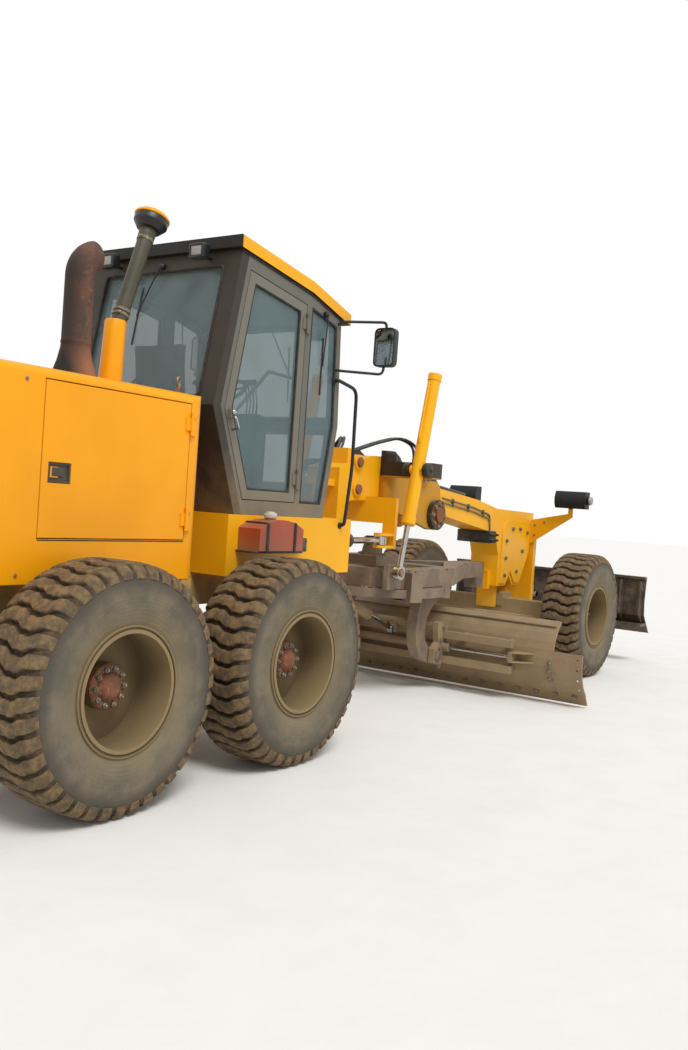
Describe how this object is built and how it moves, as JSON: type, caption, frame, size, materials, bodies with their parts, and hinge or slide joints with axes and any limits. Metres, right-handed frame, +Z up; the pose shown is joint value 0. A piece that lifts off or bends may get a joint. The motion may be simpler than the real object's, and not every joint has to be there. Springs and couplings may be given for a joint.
{
  "type": "motor grader",
  "caption": "Articulated machine with tandem rear wheels, hood and cab at the back, a gooseneck frame with a turning blade below it, a steered front axle and a dozer blade.",
  "frame": {"origin": "middle of the machine's length and width, on the ground under the tyres", "axes": "+X forward, +Y to the driver's left, +Z up"},
  "size_m": [10.1988, 3.76, 3.5172],
  "materials": {
    "yellow_paint": "gloss",
    "grey_paint": "satin",
    "dark_steel": "matte",
    "worn_steel": "matte",
    "rusty_steel": "matte",
    "red_plastic": "satin",
    "glass": "gloss",
    "black_plastic": "matte",
    "seat_fabric": "matte",
    "chrome_rod": "gloss",
    "rim_paint": "matte",
    "tyre_rubber": "matte"
  },
  "bodies": {
    "rear": {"rear_frame": "yellow_paint", "rear_axle": "dark_steel", "engine_block": "dark_steel", "hood": "yellow_paint", "rear_grille": "grey_paint", "intake_stack": "dark_steel", "exhaust": "rusty_steel", "cab_base": "yellow_paint", "fluid_tank": "red_plastic", "cab_frame": "grey_paint", "cab_roof": "yellow_paint", "cab_glass": "glass", "seat": "seat_fabric", "console": "black_plastic", "cab_trim": "grey_paint"},
    "front": {"front_frame": "yellow_paint", "lift_saddle": "dark_steel", "saddle_hoses": "black_plastic", "headlamps": "yellow_paint", "front_axle": "dark_steel"},
    "drawbar": {"drawbar": "worn_steel"},
    "circle": {"turning_circle": "worn_steel", "tilt_barrel": "dark_steel"},
    "tilt_ram_rod": {"tilt_rod": "chrome_rod"},
    "carrier": {"blade_carrier": "worn_steel", "shift_barrel": "dark_steel"},
    "blade": {"moldboard": "worn_steel", "shift_rod": "chrome_rod"},
    "dozer": {"dozer_blade": "worn_steel"},
    "dozer_ram": {"dozer_barrel": "dark_steel"},
    "dozer_ram_rod": {"dozer_rod": "chrome_rod"},
    "tie": {"tie_rod": "dark_steel"},
    "hood_door_left": {"hood_door_left": "yellow_paint"},
    "cab_door_left": {"cab_door_left": "grey_paint", "door_glass_left": "glass"},
    "knuckle_left": {"knuckle_left": "dark_steel"},
    "lift_ram_left": {"lift_barrel_left": "yellow_paint"},
    "lift_ram_rod_left": {"lift_rod_left": "chrome_rod"},
    "turn_ram_left": {"turn_barrel_left": "dark_steel"},
    "turn_ram_rod_left": {"turn_rod_left": "chrome_rod"},
    "hood_door_right": {"hood_door_right": "yellow_paint"},
    "cab_door_right": {"cab_door_right": "grey_paint", "door_glass_right": "glass"},
    "knuckle_right": {"knuckle_right": "dark_steel"},
    "lift_ram_right": {"lift_barrel_right": "yellow_paint"},
    "lift_ram_rod_right": {"lift_rod_right": "chrome_rod"},
    "turn_ram_right": {"turn_barrel_right": "dark_steel"},
    "turn_ram_rod_right": {"turn_rod_right": "chrome_rod"},
    "wheel_rear_left": {"tyre_rear_left": "tyre_rubber", "rim_rear_left": "rim_paint"},
    "wheel_rear_right": {"tyre_rear_right": "tyre_rubber", "rim_rear_right": "rim_paint"},
    "wheel_mid_left": {"tyre_mid_left": "tyre_rubber", "rim_mid_left": "rim_paint"},
    "wheel_mid_right": {"tyre_mid_right": "tyre_rubber", "rim_mid_right": "rim_paint"},
    "wheel_front_left": {"tyre_front_left": "tyre_rubber", "rim_front_left": "rim_paint"},
    "wheel_front_right": {"tyre_front_right": "tyre_rubber", "rim_front_right": "rim_paint"}
  },
  "joints": [
    {"name": "articulation", "type": "hinge", "parent": "rear", "child": "front", "pos_m": [-0.5995, 0, 1.5], "axis": [0, 0, 1], "range_deg": [-27, 27]},
    {"name": "roll_rear_left", "type": "hinge", "parent": "rear", "child": "wheel_rear_left", "pos_m": [-3.7485, 1.078, 0.674], "axis": [0, 1, 0], "continuous": true},
    {"name": "roll_rear_right", "type": "hinge", "parent": "rear", "child": "wheel_rear_right", "pos_m": [-3.7485, -1.078, 0.674], "axis": [0, 1, 0], "continuous": true},
    {"name": "roll_mid_left", "type": "hinge", "parent": "rear", "child": "wheel_mid_left", "pos_m": [-2.2105, 1.078, 0.674], "axis": [0, 1, 0], "continuous": true},
    {"name": "roll_mid_right", "type": "hinge", "parent": "rear", "child": "wheel_mid_right", "pos_m": [-2.2105, -1.078, 0.674], "axis": [0, 1, 0], "continuous": true},
    {"name": "steer_left", "type": "hinge", "parent": "front", "child": "knuckle_left", "pos_m": [3.2395, 0.8, 0.674], "axis": [0, 0, 1], "range_deg": [-49, 49]},
    {"name": "roll_front_left", "type": "hinge", "parent": "knuckle_left", "child": "wheel_front_left", "pos_m": [3.2395, 1.078, 0.674], "axis": [0, 1, 0], "continuous": true},
    {"name": "steer_right", "type": "hinge", "parent": "front", "child": "knuckle_right", "pos_m": [3.2395, -0.8, 0.674], "axis": [0, 0, 1], "range_deg": [-49, 49]},
    {"name": "roll_front_right", "type": "hinge", "parent": "knuckle_right", "child": "wheel_front_right", "pos_m": [3.2395, -1.078, 0.674], "axis": [0, 1, 0], "continuous": true},
    {"name": "tie_rod_turn", "type": "hinge", "parent": "knuckle_left", "child": "tie", "pos_m": [2.9795, 0.8, 0.593], "axis": [0, 0, 1], "range_deg": [-49, 49]},
    {"name": "blade_lift", "type": "hinge", "parent": "front", "child": "drawbar", "pos_m": [2.8205, 0, 0.95], "axis": [0, 1, 0], "range_deg": [-15, 7]},
    {"name": "circle_turn", "type": "hinge", "parent": "drawbar", "child": "circle", "pos_m": [0.5405, 0, 0.95], "axis": [0, 0, 1], "continuous": true},
    {"name": "blade_tilt", "type": "hinge", "parent": "circle", "child": "carrier", "pos_m": [0.9705, 0, 0.33], "axis": [0, 1, 0], "range_deg": [-14, 24]},
    {"name": "tilt_rod_slide", "type": "slide", "parent": "circle", "child": "tilt_ram_rod", "axis": [0.9398, 0, -0.3417], "range_m": [-0.047, 0.08]},
    {"name": "side_shift", "type": "slide", "parent": "carrier", "child": "blade", "axis": [0, 1, 0], "range_m": [-0.5, 0.5]},
    {"name": "lift_swing_left", "type": "hinge", "parent": "front", "child": "lift_ram_left", "pos_m": [0.1705, 0.64, 2.06], "axis": [0, 1, 0], "range_deg": [-7.1, 3.34]},
    {"name": "lift_rod_left_slide", "type": "slide", "parent": "lift_ram_left", "child": "lift_ram_rod_left", "axis": [-0.216, 0, -0.9764], "range_m": [-0.3443, 0.7367]},
    {"name": "lift_swing_right", "type": "hinge", "parent": "front", "child": "lift_ram_right", "pos_m": [0.1705, -0.64, 2.06], "axis": [0, 1, 0], "range_deg": [-7.1, 3.34]},
    {"name": "lift_rod_right_slide", "type": "slide", "parent": "lift_ram_right", "child": "lift_ram_rod_right", "axis": [-0.216, 0, -0.9764], "range_m": [-0.3443, 0.7367]},
    {"name": "turn_swing_left", "type": "hinge", "parent": "rear", "child": "turn_ram_left", "pos_m": [-1.2295, 0.48, 1.42], "axis": [0, 0, 1], "range_deg": [-12.47, 12.47]},
    {"name": "turn_rod_left_slide", "type": "slide", "parent": "turn_ram_left", "child": "turn_ram_rod_left", "axis": [0.9991, -0.0416, 0], "range_m": [-0.1989, 0.1989]},
    {"name": "turn_swing_right", "type": "hinge", "parent": "rear", "child": "turn_ram_right", "pos_m": [-1.2295, -0.48, 1.42], "axis": [0, 0, 1], "range_deg": [-12.47, 12.47]},
    {"name": "turn_rod_right_slide", "type": "slide", "parent": "turn_ram_right", "child": "turn_ram_rod_right", "axis": [0.9991, 0.0416, 0], "range_m": [-0.1989, 0.1989]},
    {"name": "dozer_lift", "type": "hinge", "parent": "front", "child": "dozer", "pos_m": [3.9995, 0, 0.55], "axis": [0, 1, 0], "range_deg": [-20, 12]},
    {"name": "dozer_swing", "type": "hinge", "parent": "front", "child": "dozer_ram", "pos_m": [3.9695, 0, 1.45], "axis": [0, 1, 0], "range_deg": [-2.5, 2.5]},
    {"name": "dozer_rod_slide", "type": "slide", "parent": "dozer_ram", "child": "dozer_ram_rod", "axis": [0.578, 0, -0.816], "range_m": [-0.19, 0.19]},
    {"name": "hood_door_left_swing", "type": "hinge", "parent": "rear", "child": "hood_door_left", "pos_m": [-2.8595, 0.764, 1.5], "axis": [0, 0, -1], "range_deg": [0, 90]},
    {"name": "cab_door_left_swing", "type": "hinge", "parent": "rear", "child": "cab_door_left", "pos_m": [-1.6795, 0.714, 1.6], "axis": [0, 0, -1], "range_deg": [0, 90]},
    {"name": "hood_door_right_swing", "type": "hinge", "parent": "rear", "child": "hood_door_right", "pos_m": [-2.8595, -0.764, 1.5], "axis": [0, 0, 1], "range_deg": [0, 90]},
    {"name": "cab_door_right_swing", "type": "hinge", "parent": "rear", "child": "cab_door_right", "pos_m": [-1.6795, -0.714, 1.6], "axis": [0, 0, 1], "range_deg": [0, 90]}
  ],
  "couplings": [
    {"joint": "steer_right", "follows": "steer_left", "ratio": 1},
    {"joint": "tie_rod_turn", "follows": "steer_left", "ratio": -1},
    {"joint": "tilt_rod_slide", "follows": "blade_tilt", "m_per_rad": 0.187},
    {"joint": "lift_swing_left", "follows": "blade_lift", "ratio": 0.47},
    {"joint": "lift_rod_left_slide", "follows": "blade_lift", "m_per_rad": -2.81},
    {"joint": "lift_swing_right", "follows": "blade_lift", "ratio": 0.47},
    {"joint": "lift_rod_right_slide", "follows": "blade_lift", "m_per_rad": -2.81},
    {"joint": "turn_swing_left", "follows": "articulation", "ratio": 0.46},
    {"joint": "turn_rod_left_slide", "follows": "articulation", "m_per_rad": -0.42},
    {"joint": "turn_swing_right", "follows": "articulation", "ratio": 0.46},
    {"joint": "turn_rod_right_slide", "follows": "articulation", "m_per_rad": 0.42},
    {"joint": "dozer_swing", "follows": "dozer_lift", "ratio": 0.12},
    {"joint": "dozer_rod_slide", "follows": "dozer_lift", "m_per_rad": 0.51}
  ]
}
